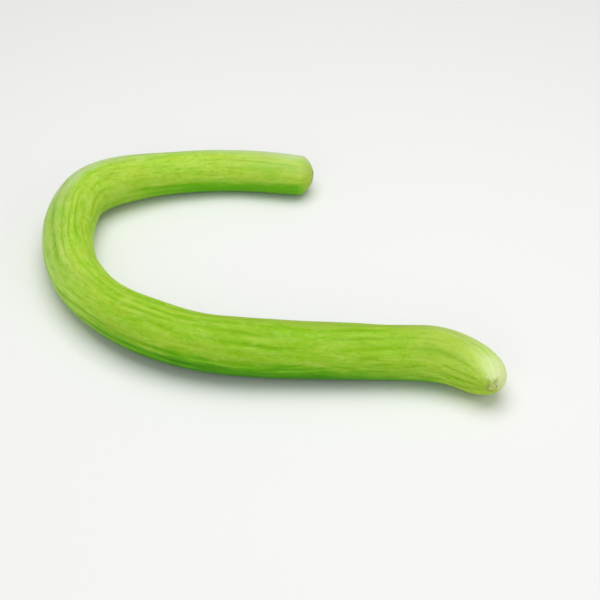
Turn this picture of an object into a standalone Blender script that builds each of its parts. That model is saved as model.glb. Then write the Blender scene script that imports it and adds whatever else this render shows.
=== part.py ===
"""Snake cucumber: one whole ridged fruit, bent into a long narrow U and lying on a flat surface.

Units are metres, +Z is up. The fruit grew as one piece, so it is one closed solid. Its skin is a
stack of upright rings along a bent middle line. Seen from above, the stem end is at the far right
of the U, the bend is at the left, and the blossom end is at the near right, where the tip hooks
outwards. The origin is under the middle of the fruit's box, on the surface that it lies on.
"""
import math

import bpy
import numpy as np

# Size of the fruit
LENGTH = 0.7323                 # along the middle line, stem scar to blossom tip
# Diameter over the ridges, at shares of the length from the stem end to the blossom end
DIAMETERS = (
    (0.00, 0.0357),             # stem end
    (0.085, 0.0387),            # slim stem run
    (0.16, 0.0389),
    (0.30, 0.0453),             # elbow
    (0.48, 0.0434),             # long sweep
    (0.68, 0.0474),             # thick blossom run
    (0.90, 0.0449),             # hook
    (1.00, 0.0372),             # width that the dome is rounded off from
)
SWELL = 0.0002                  # slow unevenness of the radius along the fruit
SWELL_WAVELENGTHS = (0.083, 0.131)

# Middle line seen from above: where each bend starts, its length, and its turn to the left
START_HEADING = 169.5           # degrees from +X, leaving the stem end
ARCH = (0.0357, 0.0654, 9.4)    # metres, metres, degrees
SWEEP = (0.0259, 0.5454, 139.0)
ELBOW = (0.1898, 0.0531, 32.7)
KNEE = (0.4359, 0.0830, 8.4)
HOOK = (0.6382, 0.1131, -61.5)
TIP_TURN = (0.6972, 0.0302, -23.1)
BENDS = (ARCH, SWEEP, ELBOW, KNEE, HOOK, TIP_TURN)
LINE_STEPS = 2000               # small steps in which the heading is followed

# How the fruit lies: it touches the surface at three places and arches up between them
TOUCH_PLACES = (0.077, 0.302, 0.612)
ARCH_HEIGHT = 0.003
END_RISE = 0.0025               # how far each end is lifted beyond its touching place
BLOSSOM_SCAR_RAISE = 0.0045     # how much further the dome is tilted up at its scar
FLAT_DEPTH = 0.0006             # how much of the skin is pressed flat at a touching place

# Ridges that run the whole length
RIDGES = 18
RIDGE_DEPTH = 0.0008            # from a ridge's crest down to the groove beside it
RIDGE_UNEVENNESS = 0.25         # share by which the grooves differ in depth
GROOVE_STRIDE = 2.4             # radians from one groove's depth to the next one's
POINTS_PER_RIDGE = 4            # the groove, two shoulders and the crest between them
TWIST = 14.0                    # degrees that the ridges turn round the fruit over its length

# Stem end: a short slanting shoulder down to the scar where the stalk came off
SHOULDER_LENGTH = 0.0107
SHOULDER_SQUARENESS = 1.12
STEM_SCAR_DIAMETER = 0.011
STEM_SCAR_HOLLOW = 0.0012
SHOULDER_RINGS = 6

# Blossom end: a dome with the small scar that the flower left
DOME_LENGTH = 0.0326
DOME_SQUARENESS = 2.8
BLOSSOM_SCAR_DIAMETER = 0.007
BLOSSOM_SCAR_HOLLOW = 0.0008
DOME_RINGS = 9

# Rings of the long body: they stand closer together where the fruit bends
STRAIGHT_STEP = 0.021
TURN_STEP = math.radians(11.0)

SKIN_COLOUR = (0.30, 0.55, 0.06, 1.0)
SKIN_ROUGHNESS = 0.45
SKIN_METALLIC = 0.0


def clear_scene():
    """Remove the objects that a new Blender file starts with."""
    for item in list(bpy.data.objects):
        bpy.data.objects.remove(item, do_unlink=True)


def smooth_step(share):
    """Rise from 0 to 1 with no slope at either end."""
    share = np.clip(share, 0.0, 1.0)
    return share * share * (3.0 - 2.0 * share)


def heading_at(distance):
    """Direction of the middle line seen from above, in radians from +X."""
    heading = np.full_like(distance, math.radians(START_HEADING))
    for start, length, turn in BENDS:
        heading += math.radians(turn) * smooth_step((distance - start) / length)
    return heading


def middle_line(distance):
    """X and Y of the middle line: its direction summed up in small steps from the stem end."""
    fine = np.linspace(0.0, LENGTH, LINE_STEPS + 1)
    heading = heading_at(0.5 * (fine[1:] + fine[:-1]))
    step = LENGTH / LINE_STEPS
    line_x = np.concatenate(([0.0], np.cumsum(np.cos(heading)) * step))
    line_y = np.concatenate(([0.0], np.cumsum(np.sin(heading)) * step))
    return np.interp(distance, fine, line_x), np.interp(distance, fine, line_y)


def body_radius(distance):
    """Radius over the ridges, before the ends are rounded off."""
    share = distance / LENGTH
    radius = np.full_like(distance, DIAMETERS[0][1] / 2.0)
    for (start, before), (end, after) in zip(DIAMETERS, DIAMETERS[1:]):
        radius += 0.5 * (after - before) * smooth_step((share - start) / (end - start))
    for wavelength in SWELL_WAVELENGTHS:
        radius += SWELL * np.sin(2.0 * math.pi * distance / wavelength)
    return radius


def end_rounding(distance):
    """Share of the body's radius that is left in the shoulder and in the dome."""
    shoulder = np.clip(1.0 - distance / SHOULDER_LENGTH, 0.0, 1.0)
    dome = np.clip(1.0 - (LENGTH - distance) / DOME_LENGTH, 0.0, 1.0)
    return np.sqrt((1.0 - shoulder ** SHOULDER_SQUARENESS) * (1.0 - dome ** DOME_SQUARENESS))


def lift_at(distance):
    """Height of the underside: none at the touching places, arched between them, raised at the ends."""
    first, second, third = TOUCH_PLACES
    between = np.where(distance < second,
                       (distance - first) / (second - first),
                       (distance - second) / (third - second))
    arch = ARCH_HEIGHT * np.sin(math.pi * np.clip(between, 0.0, 1.0)) ** 2
    before = np.clip((first - distance) / first, 0.0, 1.0)
    after = np.clip((distance - third) / (LENGTH - third), 0.0, 1.0)
    dome = np.clip(1.0 - (LENGTH - distance) / DOME_LENGTH, 0.0, 1.0)
    return arch + END_RISE * (before ** 2 + after ** 2) + BLOSSOM_SCAR_RAISE * dome ** 2


def cap_shares(scar_diameter, end_diameter, squareness, rings):
    """Places of the rings of a rounded end, as shares of its length, down to the scar's rim."""
    rim_angle = math.acos(scar_diameter / end_diameter)
    angles = np.linspace(0.0, rim_angle, rings + 1)[1:]
    return np.sin(angles) ** (2.0 / squareness)


def shoulder_distances():
    """Rings of the shoulder, from the rim of the stem scar towards the body."""
    shares = cap_shares(STEM_SCAR_DIAMETER, DIAMETERS[0][1], SHOULDER_SQUARENESS, SHOULDER_RINGS)
    return SHOULDER_LENGTH * (1.0 - shares[::-1])


def body_distances():
    """Rings of the long body, at even steps of length and turn taken together."""
    fine = np.linspace(SHOULDER_LENGTH, LENGTH - DOME_LENGTH, LINE_STEPS)
    turn = np.abs(np.diff(heading_at(fine)))
    effort = np.concatenate(([0.0], np.cumsum(np.diff(fine) / STRAIGHT_STEP + turn / TURN_STEP)))
    steps = int(round(effort[-1]))
    return np.interp(np.linspace(0.0, effort[-1], steps + 1), effort, fine)


def dome_distances():
    """Rings of the dome, from the body to the rim of the flower's scar."""
    shares = cap_shares(BLOSSOM_SCAR_DIAMETER, DIAMETERS[-1][1], DOME_SQUARENESS, DOME_RINGS)
    return LENGTH - DOME_LENGTH * (1.0 - shares)


def ridge_relief(ridge_number):
    """Depth below the crests: rounded ridges that meet in narrow grooves at whole numbers."""
    groove = 1.0 - np.abs(np.sin(math.pi * ridge_number))
    nearest = np.round(ridge_number) % RIDGES
    unevenness = 1.0 + RIDGE_UNEVENNESS * np.sin(GROOVE_STRIDE * nearest)
    return RIDGE_DEPTH * unevenness * groove


def skin_rings(distance):
    """Points of every ring, as an array of rings by points by XYZ."""
    count = RIDGES * POINTS_PER_RIDGE
    ridge_number = np.arange(count) / POINTS_PER_RIDGE
    around = 2.0 * math.pi * ridge_number / RIDGES
    twist = math.radians(TWIST) * distance / LENGTH
    angle = around[None, :] + twist[:, None]
    full = body_radius(distance)
    left = end_rounding(distance)[:, None]
    radius = (full[:, None] - ridge_relief(ridge_number)[None, :] * left) * left
    aside = radius * np.cos(angle)
    rise = radius * np.sin(angle)
    line_x, line_y = middle_line(distance)
    heading = heading_at(distance)
    axis_height = full + lift_at(distance) - FLAT_DEPTH
    ring_x = line_x[:, None] - np.sin(heading)[:, None] * aside
    ring_y = line_y[:, None] + np.cos(heading)[:, None] * aside
    ring_z = np.maximum(axis_height[:, None] + rise, 0.0)
    return np.stack((ring_x, ring_y, ring_z), axis=2)


def scar_middle(ring, heading, hollow):
    """Middle of a scar: the ring's own middle, moved along the heading by the hollow."""
    forward = np.array((math.cos(heading), math.sin(heading), 0.0))
    return ring.mean(axis=0) + hollow * forward


def skin_points():
    """All points of the skin, ring by ring, then the middles of the stem and blossom scars."""
    distance = np.concatenate((shoulder_distances(), body_distances(), dome_distances()))
    rings = skin_rings(distance)
    heading = heading_at(distance)
    stem_middle = scar_middle(rings[0], heading[0], STEM_SCAR_HOLLOW)
    blossom_middle = scar_middle(rings[-1], heading[-1], -BLOSSOM_SCAR_HOLLOW)
    points = np.concatenate((rings.reshape(-1, 3), stem_middle[None], blossom_middle[None]))
    box_middle = 0.5 * (points.min(axis=0) + points.max(axis=0))
    points[:, :2] -= box_middle[:2]
    return points, len(distance)


def skin_faces(ring_count):
    """Four-sided faces between the rings, and a fan of triangles over each scar."""
    per_ring = RIDGES * POINTS_PER_RIDGE
    stem_middle = ring_count * per_ring
    blossom_middle = stem_middle + 1
    last_ring = stem_middle - per_ring
    faces = []
    for place in range(per_ring):
        following = (place + 1) % per_ring
        for ring_start in range(0, last_ring, per_ring):
            next_start = ring_start + per_ring
            faces.append((ring_start + place, ring_start + following,
                          next_start + following, next_start + place))
        faces.append((stem_middle, following, place))
        faces.append((blossom_middle, last_ring + place, last_ring + following))
    return faces


def skin_material():
    """Pale yellow-green skin."""
    material = bpy.data.materials.new("fruit_skin")
    material.use_nodes = True
    shader = material.node_tree.nodes["Principled BSDF"]
    shader.inputs["Base Color"].default_value = SKIN_COLOUR
    shader.inputs["Roughness"].default_value = SKIN_ROUGHNESS
    shader.inputs["Metallic"].default_value = SKIN_METALLIC
    return material


def build_fruit():
    """Make the closed skin and link it into the scene as the object fruit."""
    points, ring_count = skin_points()
    mesh = bpy.data.meshes.new("fruit")
    mesh.from_pydata(points.tolist(), [], skin_faces(ring_count))
    mesh.materials.append(skin_material())
    mesh.shade_smooth()
    mesh.update()
    fruit = bpy.data.objects.new("fruit", mesh)
    bpy.context.collection.objects.link(fruit)


clear_scene()
build_fruit()
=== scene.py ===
"""Looks of the snake cucumber: its fine ridged skin, the scars at its two ends, and a plain studio.

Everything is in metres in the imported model's frame, +Z up. The fruit lies on its side on the
floor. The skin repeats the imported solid's own formulas on a finer grid and adds what is too small
for the solid: wandering grooves, lumps and wrinkles. Two small pieces fill the scars.
"""
import logging
import math
from dataclasses import dataclass
from enum import Enum
from typing import Any

import bpy
import numpy as np
from mathutils import Euler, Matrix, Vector


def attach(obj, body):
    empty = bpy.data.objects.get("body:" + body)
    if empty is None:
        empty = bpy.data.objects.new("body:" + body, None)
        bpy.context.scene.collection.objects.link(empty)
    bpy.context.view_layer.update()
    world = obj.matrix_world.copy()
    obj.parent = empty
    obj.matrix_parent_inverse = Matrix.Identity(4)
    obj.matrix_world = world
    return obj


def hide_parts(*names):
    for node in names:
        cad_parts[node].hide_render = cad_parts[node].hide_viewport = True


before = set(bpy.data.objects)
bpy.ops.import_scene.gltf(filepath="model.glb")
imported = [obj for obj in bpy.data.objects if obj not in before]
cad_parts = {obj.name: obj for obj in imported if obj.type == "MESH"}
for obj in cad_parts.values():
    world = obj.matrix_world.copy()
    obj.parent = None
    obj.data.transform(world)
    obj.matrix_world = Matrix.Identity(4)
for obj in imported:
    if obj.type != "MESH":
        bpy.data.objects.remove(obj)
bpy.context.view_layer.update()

log = logging.getLogger("snake_cucumber")

Colour = tuple[float, float, float]
Place = tuple[float, float, float]
Stops = tuple[tuple[float, Colour], ...]
UV_MAP = "skin_map"
STRAIGHT = "straight"
LEVEL = "level"
FURROW = "furrow"


class Slot(Enum):
    """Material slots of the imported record."""

    SKIN = "fruit_skin"
    SCAR = "scar_tissue"


class End(Enum):
    """The two ends of the fruit."""

    STEM = "stem"
    BLOSSOM = "blossom"


# Numbers and surfaces


def smooth_step(share: np.ndarray) -> np.ndarray:
    """Rise from 0 to 1 with no slope at either end: the square of the share times three minus twice it.

    Args:
        share: Where on the rise each value stands; it is cut to 0 to 1.

    Returns:
        The risen values.
    """
    share = np.clip(share, 0.0, 1.0)
    return share * share * (3.0 - 2.0 * share)


def spline_weights(place: np.ndarray, knots: int, closed: bool) -> np.ndarray:
    """Weights of a smooth cubic curve through a row of knots.

    Each place lies between two knots, and the four knots round it share its value by the cubic
    B-spline's four polynomials.

    Args:
        place: Places along the row, as shares from 0 to 1.
        knots: How many knots the row has.
        closed: Whether the row's end meets its start.

    Returns:
        Weights, one row for each place and one column for each knot.
    """
    spans = knots if closed else knots - 3
    at = np.clip(place, 0.0, 1.0) * spans
    first = np.minimum(np.floor(at), spans - 1)
    t = at - first
    shares = np.stack(((1 - t) ** 3, 3 * t ** 3 - 6 * t ** 2 + 4,
                       -3 * t ** 3 + 3 * t ** 2 + 3 * t + 1, t ** 3), axis=1) / 6.0
    weights = np.zeros((len(place), knots))
    rows = np.arange(len(place))
    for step in range(4):
        np.add.at(weights, (rows, (first.astype(int) + step) % knots), shares[:, step])
    return weights


@dataclass(frozen=True)
class Unevenness:
    """Smooth random waves over a skin that closes round the fruit."""

    round_knots: int
    long_knots: int
    seed: int

    def over(self, along: np.ndarray, around: np.ndarray) -> np.ndarray:
        """Values of about -1 to 1: random heights of a coarse net, smoothed along and around.

        Args:
            along: Places of the rings, 0 to 1.
            around: Places of the points of a ring, 0 to 1.

        Returns:
            One row for each ring.
        """
        net = np.random.default_rng(self.seed).uniform(-1.0, 1.0, (self.long_knots, self.round_knots))
        long_weights = spline_weights(along, self.long_knots, closed=False)
        round_weights = spline_weights(around, self.round_knots, closed=True)
        return 2.0 * long_weights @ net @ round_weights.T


@dataclass(frozen=True)
class Surface:
    """A closed shell of rings, with a single point at each end."""

    points: np.ndarray
    first_pole: np.ndarray
    last_pole: np.ndarray
    along: np.ndarray
    straight: np.ndarray
    marks: dict[str, np.ndarray]

    def mesh(self, name: str) -> bpy.types.Mesh:
        """Make the mesh: four-sided faces between rings, and a fan of triangles at each pole.

        Args:
            name: Name of the mesh.

        Returns:
            The mesh, with a UV map that runs round and along, a point attribute with each
            point's place on the fruit pulled straight, and one for each of the marks.
        """
        rings, columns = self.points.shape[:2]
        column = np.arange(columns)
        beside = (column + 1) % columns
        row = np.arange(rings - 1)[:, None] * columns
        quads = np.stack((row + column, row + beside, row + columns + beside, row + columns + column),
                         axis=2).reshape(-1, 4)
        last_row = (rings - 1) * columns
        first_fan = np.stack((np.full(columns, rings * columns), beside, column), axis=1)
        last_fan = np.stack((np.full(columns, rings * columns + 1), last_row + column,
                             last_row + beside), axis=1)
        points = np.concatenate((self.points.reshape(-1, 3), self.first_pole[None], self.last_pole[None]))
        mesh = bpy.data.meshes.new(name)
        mesh.from_pydata(points.tolist(), [], quads.tolist() + first_fan.tolist() + last_fan.tolist())

        turn = column / columns
        step = 1.0 / columns
        low, high = self.along[:-1, None], self.along[1:, None]
        quad_u = np.stack((turn, turn + step, turn + step, turn), axis=1)[None].repeat(rings - 1, axis=0)
        quad_v = np.stack((low, low, high, high), axis=2).repeat(columns, axis=1)
        first_u = np.stack((turn + step / 2, turn + step, turn), axis=1)
        first_v = np.tile((0.0, self.along[0], self.along[0]), (columns, 1))
        last_u = np.stack((turn + step / 2, turn, turn + step), axis=1)
        last_v = np.tile((1.0, self.along[-1], self.along[-1]), (columns, 1))
        u = np.concatenate((quad_u.ravel(), first_u.ravel(), last_u.ravel()))
        v = np.concatenate((quad_v.ravel(), first_v.ravel(), last_v.ravel()))
        layer = mesh.uv_layers.new(name=UV_MAP)
        layer.data.foreach_set("uv", np.stack((u, v), axis=1).astype(np.float32).ravel())
        straight = mesh.attributes.new(STRAIGHT, "FLOAT_VECTOR", "POINT")
        straight.data.foreach_set("vector", self.straight.astype(np.float32).ravel())
        for mark, values in self.marks.items():
            layer = mesh.attributes.new(mark, "FLOAT", "POINT")
            layer.data.foreach_set("value", values.astype(np.float32).ravel())
        mesh.shade_smooth()
        mesh.update()
        return mesh


def link_piece(name: str, mesh: bpy.types.Mesh, material: bpy.types.Material) -> bpy.types.Object:
    """Put a finished mesh into the scene as a piece of the fruit.

    Args:
        name: Name of the piece.
        mesh: Its mesh, in place.
        material: Its finish.

    Returns:
        The piece, riding on the fruit's only body.
    """
    mesh.materials.append(material)
    piece = bpy.data.objects.new(name, mesh)
    bpy.context.scene.collection.objects.link(piece)
    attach(piece, "root")
    return piece


# Shader expressions


@dataclass(frozen=True)
class Pattern:
    """Size and character of a noise: metres across and along the fruit, octaves, roughness and twist."""

    across: float
    along: float
    detail: float = 2.0
    roughness: float = 0.5
    twist: float = 0.0


class Wire:
    """An output socket that arithmetic can be written on; each operation adds a Math node."""

    def __init__(self, graph: "Graph", socket: bpy.types.NodeSocket) -> None:
        """Wrap one output socket of a node of the graph."""
        self.graph = graph
        self.socket = socket

    def math(self, operation: str, *others: Any, flip: bool = False) -> "Wire":
        """One Math node.

        Args:
            operation: Blender's name for the operation.
            others: The other operands, wires or numbers.
            flip: Whether the first other operand stands before this wire.

        Returns:
            The result.
        """
        values = [self, *others]
        if flip:
            values[0], values[1] = values[1], values[0]
        return self.graph.node("ShaderNodeMath", {"operation": operation}, dict(enumerate(values)))

    def __add__(self, other: Any) -> "Wire":
        """Sum."""
        return self.math("ADD", other)

    __radd__ = __add__

    def __sub__(self, other: Any) -> "Wire":
        """Difference."""
        return self.math("SUBTRACT", other)

    def __rsub__(self, other: Any) -> "Wire":
        """Difference, with this wire taken away."""
        return self.math("SUBTRACT", other, flip=True)

    def __mul__(self, other: Any) -> "Wire":
        """Product."""
        return self.math("MULTIPLY", other)

    __rmul__ = __mul__

    def rise(self, low: float, high: float) -> "Wire":
        """Smooth rise from 0 to 1.

        Args:
            low: The value that gives 0; it may be the greater of the two, for a fall.
            high: The value that gives 1.

        Returns:
            The risen value.
        """
        falls = low > high
        ends = {"Value": self, "From Min": min(low, high), "From Max": max(low, high),
                "To Min": float(falls), "To Max": float(not falls)}
        return self.graph.node("ShaderNodeMapRange", {"interpolation_type": "SMOOTHSTEP"}, ends)


class Graph:
    """The node tree of one material."""

    def __init__(self, name: str) -> None:
        """Start a material with only a shader and its output.

        Args:
            name: The material's name.
        """
        self.material = bpy.data.materials.new(name)
        self.material.use_nodes = True
        self.tree = self.material.node_tree
        self.shader = self.tree.nodes["Principled BSDF"]

    def fill(self, node: bpy.types.Node, inputs: dict[Any, Any]) -> None:
        """Set or link the inputs of a node.

        Args:
            node: The node.
            inputs: Socket name or number to a wire or a plain value.
        """
        for key, value in inputs.items():
            if isinstance(value, Wire):
                self.tree.links.new(value.socket, node.inputs[key])
            else:
                node.inputs[key].default_value = value

    def node(self, kind: str, settings: dict[str, Any] | None = None,
             inputs: dict[Any, Any] | None = None, output: Any = 0) -> Wire:
        """Add any node.

        Args:
            kind: Blender's type name.
            settings: Properties that are set first.
            inputs: Values and links of its sockets.
            output: Name or number of the output that is wanted.

        Returns:
            That output.
        """
        node = self.tree.nodes.new(kind)
        for key, value in (settings or {}).items():
            setattr(node, key, value)
        self.fill(node, inputs or {})
        return Wire(self, node.outputs[output])

    def ramp(self, place: Wire, stops: Stops) -> Wire:
        """Colour that changes smoothly with a place.

        Args:
            place: The place, 0 to 1.
            stops: Places and the colour at each.

        Returns:
            The colour.
        """
        colour = self.node("ShaderNodeValToRGB", None, {"Fac": place}, "Color")
        ramp = colour.socket.node.color_ramp
        ramp.interpolation = "EASE"
        while len(ramp.elements) < len(stops):
            ramp.elements.new(1.0)
        for element, (position, paint) in zip(ramp.elements, stops):
            element.position = position
            element.color = (*paint, 1.0)
        return colour

    def mix(self, share: Any, under: Any, over: Any) -> Wire:
        """Lay one colour on another.

        Args:
            share: How much of the upper colour shows, a wire or a number.
            under: The lower colour.
            over: The upper colour.

        Returns:
            The mixed colour.
        """
        paints = [c if isinstance(c, Wire) else (*c, 1.0) for c in (under, over)]
        return self.node("ShaderNodeMix", {"data_type": "RGBA"}, {0: share, 6: paints[0], 7: paints[1]}, 2)

    def noise(self, place: Wire, pattern: Pattern) -> Wire:
        """Noise of about 0 to 1 whose features have the pattern's size.

        Args:
            place: Metres, with the fruit's length along Z.
            pattern: Size and character of the noise.

        Returns:
            The noise.
        """
        scale = (1.0 / pattern.across, 1.0 / pattern.across, 1.0 / pattern.along)
        scaled = self.node("ShaderNodeVectorMath", {"operation": "MULTIPLY"}, {0: place, 1: scale})
        return self.node("ShaderNodeTexNoise", None,
                         {"Vector": scaled, "Scale": 1.0, "Detail": pattern.detail,
                          "Roughness": pattern.roughness, "Distortion": pattern.twist}, "Fac")

    def attribute(self, name: str, output: str = "Fac") -> Wire:
        """A point attribute of the mesh, as a number or as a vector."""
        return self.node("ShaderNodeAttribute", {"attribute_name": name}, None, output)

    def chart_along(self) -> Wire:
        """Place along the piece, 0 to 1, from its UV map."""
        chart = self.node("ShaderNodeUVMap", {"uv_map": UV_MAP}, None, "UV")
        return self.node("ShaderNodeSeparateXYZ", None, {"Vector": chart}, "Y")

    def bump(self, height: Wire, distance: float, strength: float) -> Wire:
        """Normal of a surface that a height of 0 to 1 raises by up to the distance."""
        return self.node("ShaderNodeBump", None,
                         {"Strength": strength, "Distance": distance, "Height": height}, "Normal")


# The fruit's shape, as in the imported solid


@dataclass(frozen=True)
class Bend:
    """One turn of the middle line to the left; a negative turn goes to the right."""

    start: float
    length: float
    turn: float


@dataclass(frozen=True)
class MiddleLine:
    """The fruit's middle line, seen from above, from the stem end to the blossom end."""

    length: float = 0.7323
    start: tuple[float, float] = (0.045151, 0.129423)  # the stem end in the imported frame
    start_heading: float = 169.5
    bends: tuple[Bend, ...] = (
        Bend(0.0357, 0.0654, 9.4),  # gentle arch of the stem run
        Bend(0.0259, 0.5454, 139.0),  # long sweep round the U
        Bend(0.1898, 0.0531, 32.7),  # elbow
        Bend(0.4359, 0.0830, 8.4),  # slight knee before the blossom run
        Bend(0.6382, 0.1131, -61.5),  # hook of the blossom end
        Bend(0.6972, 0.0302, -23.1),  # last turn of the tip
    )
    steps: int = 2000

    def heading(self, distance: np.ndarray) -> np.ndarray:
        """Direction of the line: the start heading plus each bend's smooth turn.

        Args:
            distance: Metres along the line.

        Returns:
            Radians from +X.
        """
        heading = np.full_like(distance, math.radians(self.start_heading))
        for bend in self.bends:
            heading += math.radians(bend.turn) * smooth_step((distance - bend.start) / bend.length)
        return heading

    def place(self, distance: np.ndarray) -> tuple[np.ndarray, np.ndarray]:
        """Place on the line: the direction's cosine and sine, summed up in small steps.

        Args:
            distance: Metres along the line.

        Returns:
            X and Y.
        """
        fine = np.linspace(0.0, self.length, self.steps + 1)
        heading = self.heading(0.5 * (fine[1:] + fine[:-1]))
        step = self.length / self.steps
        line_x = self.start[0] + np.concatenate(([0.0], np.cumsum(np.cos(heading)) * step))
        line_y = self.start[1] + np.concatenate(([0.0], np.cumsum(np.sin(heading)) * step))
        return np.interp(distance, fine, line_x), np.interp(distance, fine, line_y)


@dataclass(frozen=True)
class Thickness:
    """How thick the fruit is along its length, and how its two ends are rounded off."""

    diameters: tuple[tuple[float, float], ...] = (
        (0.00, 0.0357), (0.085, 0.0387), (0.16, 0.0389), (0.30, 0.0453), (0.48, 0.0434),
        (0.68, 0.0474), (0.90, 0.0449), (1.00, 0.0372))
    swell: float = 0.0002
    swell_wavelengths: tuple[float, float] = (0.083, 0.131)
    shoulder_length: float = 0.0107
    shoulder_squareness: float = 1.12
    stem_scar: float = 0.011
    dome_length: float = 0.0326
    dome_squareness: float = 2.8
    blossom_scar: float = 0.007

    def radius(self, distance: np.ndarray, length: float) -> np.ndarray:
        """Radius over the ridges, unrounded: smooth steps between the diameters, and two slow waves.

        Args:
            distance: Metres along the middle line.
            length: The line's length.

        Returns:
            Radius at each distance.
        """
        share = distance / length
        radius = np.full_like(distance, self.diameters[0][1] / 2.0)
        for (start, before), (end, after) in zip(self.diameters, self.diameters[1:]):
            radius += 0.5 * (after - before) * smooth_step((share - start) / (end - start))
        for wavelength in self.swell_wavelengths:
            radius += self.swell * np.sin(2.0 * math.pi * distance / wavelength)
        return radius

    def rounding(self, distance: np.ndarray, length: float) -> np.ndarray:
        """What the rounded ends leave of the radius: two squared-off quarter circles.

        Args:
            distance: Metres along the middle line.
            length: The line's length.

        Returns:
            Share of the radius, 0 to 1.
        """
        shoulder = np.clip(1.0 - distance / self.shoulder_length, 0.0, 1.0)
        dome = np.clip(1.0 - (length - distance) / self.dome_length, 0.0, 1.0)
        return np.sqrt((1.0 - shoulder ** self.shoulder_squareness)
                       * (1.0 - dome ** self.dome_squareness))

    def end_shares(self, end: End, rings: int) -> np.ndarray:
        """Places of a rounded end's rings: even angles of its quarter circle, down to the scar's rim.

        Args:
            end: Which end.
            rings: How many rings.

        Returns:
            Shares of the shoulder's or the dome's length.
        """
        if end is End.STEM:
            scar, diameter, squareness = self.stem_scar, self.diameters[0][1], self.shoulder_squareness
        else:
            scar, diameter, squareness = self.blossom_scar, self.diameters[-1][1], self.dome_squareness
        angles = np.linspace(0.0, math.acos(scar / diameter), rings + 1)[1:]
        return np.sin(angles) ** (2.0 / squareness)


@dataclass(frozen=True)
class Ridges:
    """Rounded ridges with narrow grooves between them, which run the whole length."""

    count: int = 18
    depth: float = 0.0008
    unevenness: float = 0.25  # share by which the grooves differ in depth
    stride: float = 2.4  # radians from one groove's depth to the next one's
    twist: float = 14.0  # degrees over the whole length
    wander: float = 0.34  # widths of a ridge that a groove strays to each side
    shown: float = 0.44  # mean share of the depth that shows
    fading: float = 0.46  # how far that share goes up and down

    def relief(self, number: np.ndarray) -> np.ndarray:
        """Depth below the crests: one minus the size of a sine that is 0 at each groove, times its depth.

        Args:
            number: Places round the fruit, counted in ridges.

        Returns:
            Metres at each place.
        """
        groove = 1.0 - np.abs(np.sin(math.pi * number))
        nearest = np.round(number) % self.count
        return self.depth * (1.0 + self.unevenness * np.sin(self.stride * nearest)) * groove


@dataclass(frozen=True)
class Rest:
    """How the fruit lies: three touching places, arched up between them, with both ends lifted."""

    touch: tuple[float, float, float] = (0.077, 0.302, 0.612)
    arch: float = 0.003
    end_rise: float = 0.0025
    flat: float = 0.0006
    scar_raise: float = 0.0045

    def lift(self, distance: np.ndarray, length: float, dome: float) -> np.ndarray:
        """Height of the underside: a squared sine between touching places, squares beyond and in the dome.

        Args:
            distance: Metres along the middle line.
            length: The line's length.
            dome: Length of the dome.

        Returns:
            Metres over the floor.
        """
        first, second, third = self.touch
        between = np.where(distance < second, (distance - first) / (second - first),
                           (distance - second) / (third - second))
        arch = self.arch * np.sin(math.pi * np.clip(between, 0.0, 1.0)) ** 2
        before = np.clip((first - distance) / first, 0.0, 1.0)
        after = np.clip((distance - third) / (length - third), 0.0, 1.0)
        tip = np.clip(1.0 - (length - distance) / dome, 0.0, 1.0)
        return arch + self.end_rise * (before ** 2 + after ** 2) + self.scar_raise * tip ** 2


@dataclass(frozen=True)
class EndPlace:
    """Where a scar lies: its middle, the direction out of the fruit, and two directions across."""

    middle: np.ndarray
    out: np.ndarray
    aside: np.ndarray
    up: np.ndarray


@dataclass(frozen=True)
class FruitShape:
    """The whole form of the fruit."""

    line: MiddleLine = MiddleLine()
    thickness: Thickness = Thickness()
    ridges: Ridges = Ridges()
    rest: Rest = Rest()

    def axis_height(self, distance: np.ndarray) -> np.ndarray:
        """Height of the middle line: radius plus lift, less the skin that is pressed flat.

        Args:
            distance: Metres along the line.

        Returns:
            Metres over the floor.
        """
        length, thickness = self.line.length, self.thickness
        lift = self.rest.lift(distance, length, thickness.dome_length)
        return thickness.radius(distance, length) + lift - self.rest.flat

    def end_place(self, end: End) -> EndPlace:
        """Frame of the scar at one end.

        Args:
            end: Which end.

        Returns:
            The scar's place, on the plane of its rim.
        """
        thickness = self.thickness
        inward = 1.0 - thickness.end_shares(end, 1)
        if end is End.STEM:
            distance, sign = thickness.shoulder_length * inward, -1.0
        else:
            distance, sign = self.line.length - thickness.dome_length * inward, 1.0
        heading = self.line.heading(distance)[0]
        line_x, line_y = self.line.place(distance)
        middle = np.array((line_x[0], line_y[0], self.axis_height(distance)[0]))
        out = sign * np.array((math.cos(heading), math.sin(heading), 0.0))
        aside = np.array((-math.sin(heading), math.cos(heading), 0.0))
        return EndPlace(middle, out, aside, np.array((0.0, 0.0, 1.0)))


# Finishes


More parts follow.
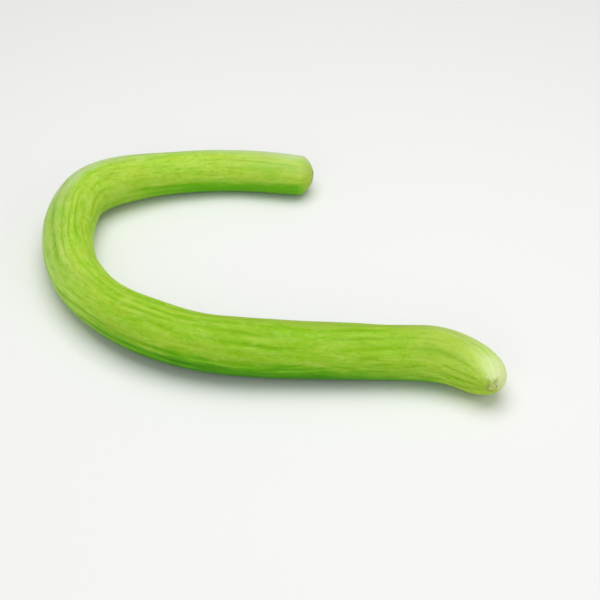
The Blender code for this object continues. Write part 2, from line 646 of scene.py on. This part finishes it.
@dataclass(frozen=True)
class SkinFinish:
    """Fresh yellow-green skin: paler crests, deeper green dashes in the grooves, a pale blossom end; painted
    shade on the underside, painted sheen on the upper rims, painted bounce light outside the bend and a
    painted highlight on the blossom end's upper side.
    """

    # The darker stops at 0.58 and 0.76, on the near run, are partly the fruit's deeper green and partly
    # painted shadow.
    along: Stops = (
        (0.00, (0.50, 0.68, 0.078)), (0.14, (0.438, 0.655, 0.052)), (0.29, (0.405, 0.63, 0.045)),
        (0.37, (0.36, 0.58, 0.038)), (0.46, (0.38, 0.605, 0.038)), (0.58, (0.304, 0.548, 0.017)),
        (0.76, (0.264, 0.524, 0.009)), (0.86, (0.322, 0.562, 0.022)), (0.93, (0.428, 0.652, 0.05)),
        (1.00, (0.43, 0.62, 0.034)))
    pale: Colour = (0.52, 0.72, 0.13)
    deep: Colour = (0.18, 0.42, 0.005)
    olive: Colour = (0.31, 0.48, 0.012)
    warm: Colour = (0.44, 0.60, 0.045)
    cool: Colour = (0.275, 0.575, 0.014)
    dull: Colour = (0.35, 0.47, 0.06)
    # Painted shade: deeper greens laid on the lower sides and along the underside.
    flank_shade: Colour = (0.12, 0.44, 0.001)
    belly_shade: Colour = (0.05, 0.25, 0.001)
    # Painted sheen: a whitish-green film laid on the upper outer rims.
    painted_sheen: Colour = (0.56, 0.665, 0.43)
    # Painted bounce light on the lower outside of the bend.
    fresh: Colour = (0.50, 0.82, 0.085)
    dash: Colour = (0.13, 0.33, 0.01)
    # Pale blossom end and tip: partly their own whitish green, partly painted highlight on the upper outer
    # side.
    bloom: Colour = (0.65, 0.79, 0.32)
    tip: Colour = (0.80, 0.86, 0.48)
    rim: Colour = (0.27, 0.33, 0.06)
    stain: Colour = (0.34, 0.40, 0.075)

    ribbons: Pattern = Pattern(0.0062, 0.045, 2.0, 0.50, 0.3)
    streaks: Pattern = Pattern(0.0030, 0.018, 2.0, 0.55, 0.4)
    flecks: Pattern = Pattern(0.0022, 0.0046, 1.5, 0.55, 0.5)
    dashes: Pattern = Pattern(0.0026, 0.010, 2.0, 0.55, 0.8)
    mottles: Pattern = Pattern(0.010, 0.019, 3.0, 0.55, 0.5)
    grains: Pattern = Pattern(0.0006, 0.0012, 2.0, 0.60)
    casts: Pattern = Pattern(0.0095, 0.030, 2.0, 0.55, 0.4)
    blots: Pattern = Pattern(0.0026, 0.0026, 2.0, 0.50, 0.5)
    spots: Pattern = Pattern(0.0038, 0.0038, 1.5, 0.50, 0.3)

    outward: float = -44.0  # one over the radius, towards the outside of the U
    # Points to the side where the blossom end's painted highlight lies.
    bloom_and_highlight_direction: Place = (39.0, 20.0, 0.0)  # likewise, towards the upper outer side
    bump_height: float = 0.00035
    bump_strength: float = 0.60
    roughness: float = 0.46
    ior: float = 1.42
    gloss: float = 0.08
    glow: float = 0.25
    glow_reach: Colour = (0.40, 1.0, 0.10)
    glow_depth: float = 0.004
    sheen: float = 0.02
    sheen_roughness: float = 0.35
    sheen_tint: Colour = (0.70, 1.0, 0.35)

    def material(self) -> bpy.types.Material:
        """Build the finish: the ground, the sides with painted bounce light and painted sheen, the painted
        shade of the underside, and last the two ends with their painted highlight.

        Returns:
            The skin's material.
        """
        paint = SkinPaint(self)
        paint.lay_ground()
        paint.lay_sides()
        paint.lay_underside_shade()
        paint.lay_ends()
        return paint.finish_material()


class SkinPaint:
    """The skin's node tree: places and patterns, then one layer of colour on another.

    A layer's share is a rise of its pattern or place between two values, times its strength.
    """

    def __init__(self, finish: SkinFinish) -> None:
        """Read where each point lies on the fruit, and lay out the patterns.

        Args:
            finish: The colours, patterns and numbers.
        """
        g = Graph("fruit_skin")
        self.graph, self.finish = g, finish
        self.straight = g.attribute(STRAIGHT, "Vector")
        self.level, self.furrow = g.attribute(LEVEL), g.attribute(FURROW)
        self.along = g.chart_along()
        self.ribbon = g.noise(self.straight, finish.ribbons)
        self.streak = g.noise(self.straight, finish.streaks)
        self.fleck = g.noise(self.straight, finish.flecks)
        self.mottle = g.noise(self.straight, finish.mottles)
        self.grain = g.noise(self.straight, finish.grains)
        self.colour = g.ramp(self.along, finish.along)
        self.bloom_share, self.tip_and_highlight_share = self.blossom_and_highlight_shares()

    def lay(self, share: Wire, colour: Colour) -> None:
        """Lay a colour over what is painted so far."""
        self.colour = self.graph.mix(share, self.colour, colour)

    def blossom_and_highlight_shares(self) -> tuple[Wire, Wire]:
        """How far the pale blossom end reaches, and the paler tip inside it; both are partly the fruit's own
        colour and partly painted highlight.

        Both rise towards the tip and towards the upper outer side, where the fruit faces the given direction
        and where the painted highlight lies. A part of it runs back further along the outer rim.

        Returns:
            Share of the pale end and share of the tip, each with its painted highlight.
        """
        g, along = self.graph, self.along
        facing = g.node("ShaderNodeVectorMath", {"operation": "DOT_PRODUCT"},
                        {0: self.straight, 1: self.finish.bloom_and_highlight_direction}, "Value")
        facing = facing + (self.streak - 0.5) * 0.9 + (0.5 - self.furrow) * 0.15
        blots = g.noise(self.straight, self.finish.blots)
        facing = facing + (blots - 0.5) * along.rise(0.96, 0.99) * 1.2
        near_tip = along + (self.mottle - 0.5) * 0.04
        # Pale blossom end with a painted highlight on its upper outer side; a part runs back along the outer
        # rim.
        bloom = near_tip.rise(0.920, 0.985) * facing.rise(-0.30, 0.65)
        rim_bloom_and_highlight = near_tip.rise(0.860, 0.950) * facing.rise(0.55, 1.00) * 0.56
        return bloom.math("MAXIMUM", rim_bloom_and_highlight), near_tip.rise(0.955, 0.992) * facing.rise(0.05, 0.95)

    def lay_ground(self) -> None:
        """Slow changes of hue, then ribbons, furrows and crests, streaks, flecks, dashes and grain."""
        finish, along, furrow = self.finish, self.along, self.furrow
        ribbon, streak, fleck, mottle, grain = self.ribbon, self.streak, self.fleck, self.mottle, self.grain
        near_run = along.rise(0.52, 0.66)
        lively = 0.45 + 0.55 * along.rise(0.02, 0.17) + 0.15 * along.rise(0.55, 0.70)

        cast = self.graph.noise(self.straight, finish.casts)
        self.lay(cast.rise(0.50, 0.66) * (0.62 - 0.24 * near_run), finish.warm)
        self.lay(cast.rise(0.50, 0.34) * 0.60, finish.cool)
        self.lay(mottle.rise(0.48, 0.72) * (0.38 - 0.14 * near_run), finish.pale)
        self.lay(mottle.rise(0.46, 0.25) * lively * (0.42 - 0.20 * near_run), finish.olive)
        self.lay(ribbon.rise(0.52, 0.75) * lively * 0.36, finish.deep)
        self.lay(ribbon.rise(0.48, 0.25) * 0.30, finish.pale)

        self.lay(furrow.rise(0.25, 0.0) * ribbon.rise(0.35, 0.65) * 0.22, finish.pale)
        self.lay(furrow.rise(0.08, 0.75) * ribbon.rise(0.76, 0.44) * lively * 0.62, finish.deep)
        self.lay(streak.rise(0.52, 0.74) * lively * 0.46, finish.deep)
        self.lay(streak.rise(0.47, 0.26) * lively * 0.32, finish.pale)
        self.lay(fleck.rise(0.54, 0.74) * lively * 0.40, finish.deep)
        self.lay(fleck.rise(0.44, 0.26) * lively * 0.26, finish.pale)

        dashes = self.graph.noise(self.straight, finish.dashes)
        in_furrow = 0.30 + 0.70 * furrow.rise(0.1, 0.6)
        self.lay(dashes.rise(0.62, 0.71) * in_furrow * 0.50 * along.rise(0.985, 0.90), finish.dash)
        self.lay(grain.rise(0.55, 0.80) * 0.14, finish.pale)
        self.lay(grain.rise(0.45, 0.20) * 0.16, finish.deep)

    def lay_sides(self) -> None:
        """Lighter outside of the bend, which is painted bounce light, duller inside of the near run, and a
        painted sheen outside the far run, with a painted highlight on its top near the stem end.
        """
        finish, along, level = self.finish, self.along, self.level
        outer = self.graph.node("ShaderNodeSeparateXYZ", None, {"Vector": self.straight}, "X")
        outer = outer * finish.outward + (self.mottle - 0.5) * 0.5 + (self.streak - 0.5) * 0.5
        lines = (0.70 + 0.56 * self.streak.rise(0.62, 0.38)) * (1.0 - 0.50 * self.furrow.rise(0.15, 0.70))

        bend = along.rise(0.24, 0.33) * along.rise(0.58, 0.48)
        # Painted bounce light: brighter green on the lower outside of the bend.
        self.lay(outer.rise(0.10, 0.80) * level.rise(1.00, 0.25) * bend * lines * 0.72, finish.fresh)
        inner = outer.rise(-0.10, -0.65) * along.rise(0.58, 0.70) * along.rise(0.97, 0.92)
        self.lay(inner * lines * level.rise(-0.10, 0.65) * 0.80, finish.dull)
        hook_top = level.rise(0.35, 0.85) * along.rise(0.86, 0.90) * along.rise(0.96, 0.93)
        self.lay(hook_top * 0.38, finish.dull)
        near_top = level.rise(0.50, 0.95) * along.rise(0.62, 0.70) * along.rise(0.900, 0.860)
        self.lay(near_top * 0.15, finish.deep)

        # Painted sheen on the outer rims of the far run and the bend, and a painted highlight on the top near
        # the stem end.
        painted_sheen = outer.rise(-0.29, 0.58) * (0.20 + 0.80 * along.rise(0.39, 0.27)) * along.rise(0.56, 0.40)
        painted_sheen = painted_sheen * along.rise(0.005, 0.040)
        crown_highlight = level.rise(0.30, 1.0) * along.rise(0.16, 0.04) * 0.20
        far_run = along.rise(0.32, 0.16)
        fall = level.rise(-0.50, 0.10) * (1.0 - far_run) + level.rise(0.08, 0.88) * far_run
        painted_sheen = (painted_sheen + crown_highlight).math("MINIMUM", 1.0) * fall * lines
        self.lay(painted_sheen * (0.74 - 0.14 * outer.rise(0.75, 1.00)), finish.painted_sheen)

    def lay_underside_shade(self) -> None:
        """Painted shade: deeper, more saturated green laid on the lower sides, darkest along the underside,
        and hardly any round the bend.
        """
        finish, along = self.finish, self.along
        low = self.level + (self.ribbon - 0.5) * 0.7 - (self.streak - 0.5) * 0.7 + (0.20 - self.furrow) * 0.28
        low = low - along.rise(0.13, 0.05) * 0.10
        shade = (1.0 - 0.8 * self.bloom_share) * along.rise(0.935, 0.770) * along.rise(0.006, 0.034)
        bend = along.rise(0.16, 0.28) * (along + (self.ribbon - 0.5) * 0.06).rise(0.66, 0.45)
        shade = shade * (1.0 - 0.84 * bend)
        # Painted shade on the lower sides, then on the underside of the blossom run, and darkest along the
        # underside.
        self.lay(low.rise(0.44, -0.18) * shade * 0.90, finish.flank_shade)
        blossom_run_underside_shade = low.rise(-0.15, -0.65) * along.rise(0.72, 0.82) * along.rise(0.960, 0.900)
        self.lay(blossom_run_underside_shade * 0.80, finish.flank_shade)
        belly_shade_level = low - along.rise(0.58, 0.68) * 0.17
        strength = 0.15 + 0.83 * along.rise(0.20, 0.50)
        self.lay(belly_shade_level.rise(0.00, -0.70) * shade * strength, finish.belly_shade)

    def lay_ends(self) -> None:
        """Pale end and tip of the blossom end, partly painted highlight, the stem end's olive rim, and stains
        round the flower's scar.
        """
        finish, along = self.finish, self.along
        # Pale blossom end and tip, each partly painted highlight on the upper outer side.
        self.lay(self.bloom_share * 0.80, finish.bloom)
        self.lay(self.tip_and_highlight_share * 0.62, finish.tip)
        uneven = along + (self.streak - 0.5) * 0.006
        self.lay(uneven.rise(0.030, 0.010) * along.rise(0.004, 0.012) * 0.30, finish.rim)
        spots = self.graph.noise(self.graph.node("ShaderNodeTexCoord", None, None, "Object"), finish.spots)
        stain = along.rise(0.9800, 0.9930) * spots.rise(0.46, 0.64) * 0.42
        stain = stain + along.rise(0.9880, 0.9950) * (0.30 + 0.70 * spots.rise(0.38, 0.60)) * 0.46
        self.lay(stain, finish.stain)

    def finish_material(self) -> bpy.types.Material:
        """Give the shader the painted colour, the fine relief and the skin's sheen.

        Returns:
            The finished material.
        """
        g, finish = self.graph, self.finish
        height = self.streak * 0.45 + self.fleck * 0.20 + self.grain * 0.15 + self.ribbon * 0.20
        g.fill(g.shader, {
            "Base Color": self.colour,
            "Roughness": finish.roughness + (self.mottle - 0.5) * 0.16 + self.furrow * 0.06,
            "Normal": g.bump(height, finish.bump_height, finish.bump_strength),
            "IOR": finish.ior,
            "Specular IOR Level": finish.gloss,
            "Subsurface Weight": finish.glow,
            "Subsurface Radius": finish.glow_reach,
            "Subsurface Scale": finish.glow_depth,
            "Sheen Weight": finish.sheen,
            "Sheen Roughness": finish.sheen_roughness,
            "Sheen Tint": (*finish.sheen_tint, 1.0),
        })
        return g.material


@dataclass(frozen=True)
class ScarFinish:
    """Dry corky tissue: a pale middle inside blotches of olive brown."""

    name: str
    pale: Colour
    blotch: Colour
    dark: Colour
    blotches: Pattern
    ring: float
    fibres: Pattern = Pattern(0.0005, 0.0005, 3.0, 0.65)
    bump_height: float = 0.0003
    bump_strength: float = 0.8
    roughness: float = 0.72
    gloss: float = 0.3

    def material(self) -> bpy.types.Material:
        """Build the finish.

        Returns:
            The scar's material.
        """
        g = Graph(self.name)
        straight = g.attribute(STRAIGHT, "Vector")
        out = g.chart_along()
        blotches = g.noise(straight, self.blotches)
        fibre = g.noise(straight, self.fibres)
        ring = out.rise(0.70, 0.82) * out.rise(0.99, 0.90)
        brown = (ring * self.ring + blotches.rise(0.50, 0.62) * 0.7).math("MINIMUM", 1.0)
        colour = g.mix(fibre.rise(0.35, 0.75) * 0.35, self.pale, self.blotch)
        colour = g.mix(brown, colour, self.blotch)
        colour = g.mix(blotches.rise(0.58, 0.68) * (0.3 + 0.7 * ring), colour, self.dark)
        g.fill(g.shader, {
            "Base Color": colour,
            "Roughness": self.roughness + (fibre - 0.5) * 0.2,
            "Normal": g.bump(fibre, self.bump_height, self.bump_strength),
            "Specular IOR Level": self.gloss,
        })
        return g.material


# Pieces


@dataclass(frozen=True)
class Skin:
    """The whole outside of the fruit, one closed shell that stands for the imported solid."""

    shape: FruitShape
    finish: SkinFinish = SkinFinish()
    columns_per_ridge: int = 10
    body_rings: int = 400
    shoulder_rings: int = 34
    dome_rings: int = 50
    scar_rings: int = 8
    stem_hollow: float = 0.0012
    blossom_hollow: float = 0.0008
    fading_waves: Unevenness = Unevenness(17, 26, 11)
    least_shown: float = 0.05  # least share of a groove's depth that shows
    stem_shown: float = 0.6  # share of it that the stem end keeps
    stem_reach: float = 0.15  # how far along the fruit that goes on
    bumps: tuple[tuple[float, Unevenness], ...] = (
        (0.00030, Unevenness(6, 20, 12)),  # lumps
        (0.00012, Unevenness(26, 66, 13)),  # dimples
        (0.00006, Unevenness(74, 48, 14)),  # wrinkles
    )
    wander_waves: Unevenness = Unevenness(13, 22, 15)
    straight_radius: float = 0.0225  # of the fruit pulled straight
    straight_closing: float = 0.30  # share of the radius under which it narrows to a point
    level_closing: float = 0.8  # share of the radius under which the level fades

    def ring_places(self) -> tuple[np.ndarray, np.ndarray, np.ndarray]:
        """Places of all rings, from the middle of the stem scar to that of the blossom scar.

        Returns:
            Distance along the middle line, share of the radius that is left inside a scar's rim,
            and how far each ring is moved along the line by a scar's hollow.
        """
        shape, length = self.shape.thickness, self.shape.line.length
        stem = shape.end_shares(End.STEM, self.shoulder_rings)
        blossom = shape.end_shares(End.BLOSSOM, self.dome_rings)
        shoulder = shape.shoulder_length * (1.0 - stem[::-1])
        dome = length - shape.dome_length * (1.0 - blossom)
        body = np.linspace(shape.shoulder_length, length - shape.dome_length, self.body_rings)
        inner = np.linspace(1.0, 0.0, self.scar_rings + 1)[1:-1]
        bowl = 1.0 - inner ** 2
        distance = np.concatenate((np.full(len(inner), shoulder[0]), shoulder, body, dome,
                                   np.full(len(inner), dome[-1])))
        outside = len(distance) - 2 * len(inner)
        share = np.concatenate((inner[::-1], np.ones(outside), inner))
        moved = np.concatenate((self.stem_hollow * bowl[::-1], np.zeros(outside),
                                -self.blossom_hollow * bowl))
        return distance, share, moved

    def relief(self, along: np.ndarray, around: np.ndarray, left: np.ndarray) -> np.ndarray:
        """Depth of the grooves: the solid's own, times a share that comes and goes along each one.

        Args:
            along: Places of the rings, 0 to 1.
            around: Places of the points of a ring, 0 to 1.
            left: Share of the radius that is left at each ring.

        Returns:
            Metres below the crests, one row for each ring.
        """
        ridges = self.shape.ridges
        shown = ridges.shown + ridges.fading * self.fading_waves.over(along, around)
        calm = self.stem_shown + (1.0 - self.stem_shown) * smooth_step(along / self.stem_reach)
        shown = np.clip(shown, self.least_shown, 1.0) * (calm * left)[:, None]
        return ridges.relief(around * ridges.count)[None, :] * shown

    def surface(self) -> Surface:
        """Work out the skin: the solid's rings, with wandering grooves, lumps, dimples and wrinkles.

        Each point stands at the ring's radius, less the groove's depth, and is held above the floor.
        Its angle round the middle line is an even one plus the ridges' twist and wander.

        Returns:
            The closed surface.
        """
        form, ridges, length = self.shape, self.shape.ridges, self.shape.line.length
        distance, share, moved = self.ring_places()
        columns = ridges.count * self.columns_per_ridge
        around, along = np.arange(columns) / columns, distance / length
        full = form.thickness.radius(distance, length)
        left = form.thickness.rounding(distance, length) * share
        relief = self.relief(along, around, left)
        radius = full[:, None] - relief
        for size, waves in self.bumps:
            radius = radius + size * waves.over(along, around)
        radius = radius * left[:, None]

        wander = ridges.wander * self.wander_waves.over(along, around) * 2.0 * math.pi / ridges.count
        twist = math.radians(ridges.twist) * along
        turn = (2.0 * math.pi * around)[None, :]
        angle = turn + twist[:, None] + wander
        aside, rise = radius * np.cos(angle), radius * np.sin(angle)
        line_x, line_y = form.line.place(distance)
        heading = form.line.heading(distance)
        ring_x = (line_x + moved * np.cos(heading))[:, None] - np.sin(heading)[:, None] * aside
        ring_y = (line_y + moved * np.sin(heading))[:, None] + np.cos(heading)[:, None] * aside
        ring_z = np.maximum(form.axis_height(distance)[:, None] + rise, 0.0)
        points = np.stack((ring_x, ring_y, ring_z), axis=2)
        poles = []
        for ring, depth in ((0, self.stem_hollow), (-1, -self.blossom_hollow)):
            forward = np.array((math.cos(heading[ring]), math.sin(heading[ring]), 0.0))
            poles.append(points[ring].mean(axis=0) + (depth - moved[ring]) * forward)

        # Places on the fruit pulled straight along +Z: a round bar, pointed where the ends close
        profile = full * left
        steps = np.hypot(np.diff(profile), np.diff(distance + moved))
        run = profile[0] + np.concatenate(([0.0], np.cumsum(steps)))
        total = run[-1] + profile[-1]
        bar = (self.straight_radius * smooth_step(left / self.straight_closing))[:, None]
        height = np.repeat(run[:, None], columns, axis=1)
        straight = np.stack((bar * np.cos(turn), bar * np.sin(turn), height), axis=2).reshape(-1, 3)
        straight = np.concatenate((straight, ((0.0, 0.0, 0.0), (0.0, 0.0, total))))
        level = np.sin(angle) * smooth_step(left / self.level_closing)[:, None]
        marks = {LEVEL: np.concatenate((level.ravel(), (0.0, 0.0))),
                 FURROW: np.concatenate(((relief / ridges.depth).ravel(), (0.0, 0.0)))}
        return Surface(points, poles[0], poles[1], run / total, straight, marks)

    def build(self) -> bpy.types.Object:
        """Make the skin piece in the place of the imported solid.

        Returns:
            The piece.
        """
        piece = link_piece("skin", self.surface().mesh("skin"), self.finish.material())
        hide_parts("fruit")
        return piece


@dataclass(frozen=True)
class Scar:
    """A small lens of dry tissue that sits in the hollow at one end of the fruit."""

    name: str
    end: End
    shape: FruitShape
    finish: ScarFinish
    radius: float
    hollow: float
    lip: float
    nub: float
    seed: int
    lobes: int = 5
    lobing: float = 0.05  # share of the radius
    lobe_knots: tuple[int, int] = (9, 5)
    crinkle: float = 0.45  # share of the lip's and the nub's height
    crinkle_knots: tuple[int, int] = (15, 8)
    lip_place: float = 0.80  # this and the two widths are shares of the radius
    lip_width: float = 0.13
    nub_width: float = 0.42
    cover: float = 0.00010  # tissue over the hollow, even but for the rim
    middle_cover: float = 0.00012  # more of it towards the middle
    edge: float = 0.00003
    bedding: float = 0.0004  # how far the back reaches under the hollow
    rings: int = 26
    columns: int = 96

    def heights(self, out: np.ndarray, around: np.ndarray) -> tuple[np.ndarray, np.ndarray]:
        """Heights of the front and the back over the plane of the scar's rim.

        The back is a bowl a little deeper than the hollow. The front lies just over the hollow. One
        bell curve raises a lip near the rim and another a nub in the middle, both crinkled.

        Args:
            out: Places of the rings, 0 in the middle to 1 at the rim.
            around: Places of the points of a ring, 0 to 1.

        Returns:
            Front and back, one row for each ring.
        """
        crinkle = Unevenness(*self.crinkle_knots, self.seed).over(out, around)
        lip = self.lip * np.exp(-((out - self.lip_place) / self.lip_width) ** 2) * (1.0 - out ** 6)
        nub = self.nub * np.exp(-(out / self.nub_width) ** 2)
        raised = (lip + nub)[:, None] * (1.0 + self.crinkle * crinkle)
        raised = raised + self.cover * (1.0 - out ** 4)[:, None]
        bowl = -self.hollow * (1.0 - out ** 2)
        front = bowl[:, None] + raised + self.middle_cover * (1.0 - out)[:, None] + self.edge
        back = bowl - self.bedding * (1.0 - out ** 2)
        return front, np.repeat(back[:, None], self.columns, axis=1)

    def surface(self) -> Surface:
        """Work out the lens: rings out over the front to a lobed rim, and back in over the back.

        Returns:
            The closed surface.
        """
        place = self.shape.end_place(self.end)
        around = np.arange(self.columns) / self.columns
        out = np.linspace(0.0, 1.0, self.rings + 1)[1:]
        front, back = self.heights(out, around)
        lobes = self.lobing * np.cos(2.0 * math.pi * self.lobes * around)[None, :] * out[:, None] ** 2
        waves = Unevenness(*self.lobe_knots, self.seed + 1).over(out, around)
        outline = 1.0 + lobes + self.lobing * waves * out[:, None]
        turn = (2.0 * math.pi * around)[None, :]
        rows = []
        for height, order in ((front, slice(None)), (back, slice(-2, None, -1))):
            reach = (self.radius * out[:, None] * outline)[order]
            aside, rise = reach * np.cos(turn), reach * np.sin(turn)
            rows.append(place.middle + aside[..., None] * place.aside + rise[..., None] * place.up
                        + height[order][..., None] * place.out)
        points = np.concatenate(rows)
        along = np.concatenate((out, out[-2::-1]))
        if self.end is End.STEM:
            points, along = points[::-1], along[::-1]
        local = points.reshape(-1, 3) - place.middle
        straight = np.stack((local @ place.aside, local @ place.up, local @ place.out), axis=1)
        straight = np.concatenate((straight, np.zeros((2, 3))))
        return Surface(points, points[0].mean(axis=0), points[-1].mean(axis=0), along, straight, {})

    def build(self) -> bpy.types.Object:
        """Make the scar piece."""
        return link_piece(self.name, self.surface().mesh(self.name), self.finish.material())


# Studio


def facing(place: Place, aim: Place) -> Euler:
    """Turn that makes a light or a camera at a place face its aim."""
    return (Vector(aim) - Vector(place)).to_track_quat("-Z", "Y").to_euler()


@dataclass(frozen=True)
class Lamp:
    """One soft square light."""

    name: str
    place: Place
    width: float
    power: float
    aim: Place = (0.0, 0.0, 0.0)


@dataclass(frozen=True)
class Studio:
    """Plain pale floor, soft lights and the camera at the photograph's angle."""

    floor_size: float = 14.0
    floor_drop: float = 0.0002  # keeps the floor just clear of the fruit's flat spots
    floor_colour: Colour = (0.86, 0.86, 0.85)
    floor_roughness: float = 0.85
    floor_gloss: float = 0.15
    clouds: Pattern = Pattern(0.4, 0.4)  # faint clouds on the floor
    cloud_share: float = 0.3
    cloud_shade: float = 0.985
    sky_colour: Colour = (1.0, 1.0, 1.0)
    sky_strength: float = 0.34
    camera_place: Place = (0.0327, -0.9449, 0.7713)
    camera_aim: Place = (0.0327, -0.0256, 0.0)
    lens: float = 84.2
    sensor: float = 36.0
    nearest: float = 0.01
    farthest: float = 50.0
    lamps: tuple[Lamp, ...] = (
        Lamp("overhead_softbox", (0.05, 0.05, 1.60), 1.5, 20.0),
        Lamp("right_softbox", (1.3, -0.7, 0.9), 1.0, 3.5),
        Lamp("front_fill", (-0.5, -1.7, 1.2), 1.4, 6.5),
    )

    def build_floor(self) -> None:
        """Make the floor, a square plate."""
        half, drop = self.floor_size / 2.0, self.floor_drop
        corners = [(-half, -half, -drop), (half, -half, -drop), (half, half, -drop), (-half, half, -drop)]
        mesh = bpy.data.meshes.new("floor")
        mesh.from_pydata(corners, [], [(0, 1, 2, 3)])
        g = Graph("floor_paper")
        cloud = g.noise(g.node("ShaderNodeTexCoord", None, None, "Object"), self.clouds)
        shaded = tuple(self.cloud_shade * c for c in self.floor_colour)
        tint = g.mix(cloud.rise(0.3, 0.7) * self.cloud_share, self.floor_colour, shaded)
        g.fill(g.shader, {"Base Color": tint, "Roughness": self.floor_roughness,
                          "Specular IOR Level": self.floor_gloss})
        mesh.materials.append(g.material)
        floor = bpy.data.objects.new("floor", mesh)
        bpy.context.scene.collection.objects.link(floor)

    def build_sky(self) -> None:
        """Light everything evenly from all round."""
        world = bpy.data.worlds.new("studio")
        world.use_nodes = True
        background = world.node_tree.nodes["Background"]
        background.inputs["Color"].default_value = (*self.sky_colour, 1.0)
        background.inputs["Strength"].default_value = self.sky_strength
        bpy.context.scene.world = world

    def build_lamp(self, lamp: Lamp) -> None:
        """Make one soft light that faces its aim.

        Args:
            lamp: The light's name, place, size and power.
        """
        data = bpy.data.lights.new(lamp.name, "AREA")
        data.shape, data.size, data.energy = "SQUARE", lamp.width, lamp.power
        light = bpy.data.objects.new(lamp.name, data)
        light.location, light.rotation_euler = lamp.place, facing(lamp.place, lamp.aim)
        bpy.context.scene.collection.objects.link(light)

    def build_camera(self) -> None:
        """Make the camera that sees the fruit as the photograph does."""
        data = bpy.data.cameras.new("camera")
        data.lens, data.sensor_width = self.lens, self.sensor
        data.clip_start, data.clip_end = self.nearest, self.farthest
        camera = bpy.data.objects.new("camera", data)
        camera.location = self.camera_place
        camera.rotation_euler = facing(self.camera_place, self.camera_aim)
        bpy.context.scene.collection.objects.link(camera)
        bpy.context.scene.camera = camera

    def build(self) -> None:
        """Make the floor, the lights and the camera, and show colours as they are."""
        self.build_floor()
        self.build_sky()
        for lamp in self.lamps:
            self.build_lamp(lamp)
        self.build_camera()
        bpy.context.scene.view_settings.view_transform = "Standard"


def report(piece: bpy.types.Object) -> None:
    """Log a piece's name and its number of points and faces."""
    log.info("%s: %d points, %d faces", piece.name, len(piece.data.vertices), len(piece.data.polygons))


def main() -> None:
    """Build the studio and the fruit's pieces in order."""
    logging.basicConfig(level=logging.INFO, format="%(name)s: %(message)s")
    Studio().build()
    shape = FruitShape()
    skin = Skin(shape)
    report(skin.build())
    corky = ScarFinish("stem_scar", pale=(0.56, 0.62, 0.34), blotch=(0.24, 0.30, 0.06),
                       dark=(0.13, 0.15, 0.03), ring=0.8,
                       blotches=Pattern(0.0030, 0.0030, 2.0, 0.5, 0.6))
    report(Scar("stem_scar", End.STEM, shape, corky, radius=0.0054, hollow=skin.stem_hollow,
                lip=0.00035, nub=0.0006, seed=31).build())
    fresh = ScarFinish("blossom_scar", pale=(0.60, 0.70, 0.24), blotch=(0.36, 0.42, 0.09),
                       dark=(0.22, 0.25, 0.04), ring=0.4,
                       blotches=Pattern(0.0018, 0.0018, 2.0, 0.5, 0.6))
    report(Scar("blossom_scar", End.BLOSSOM, shape, fresh, radius=0.0034, hollow=skin.blossom_hollow,
                lip=0.0003, nub=0.0004, seed=41).build())


if __name__ == "__main__":
    main()
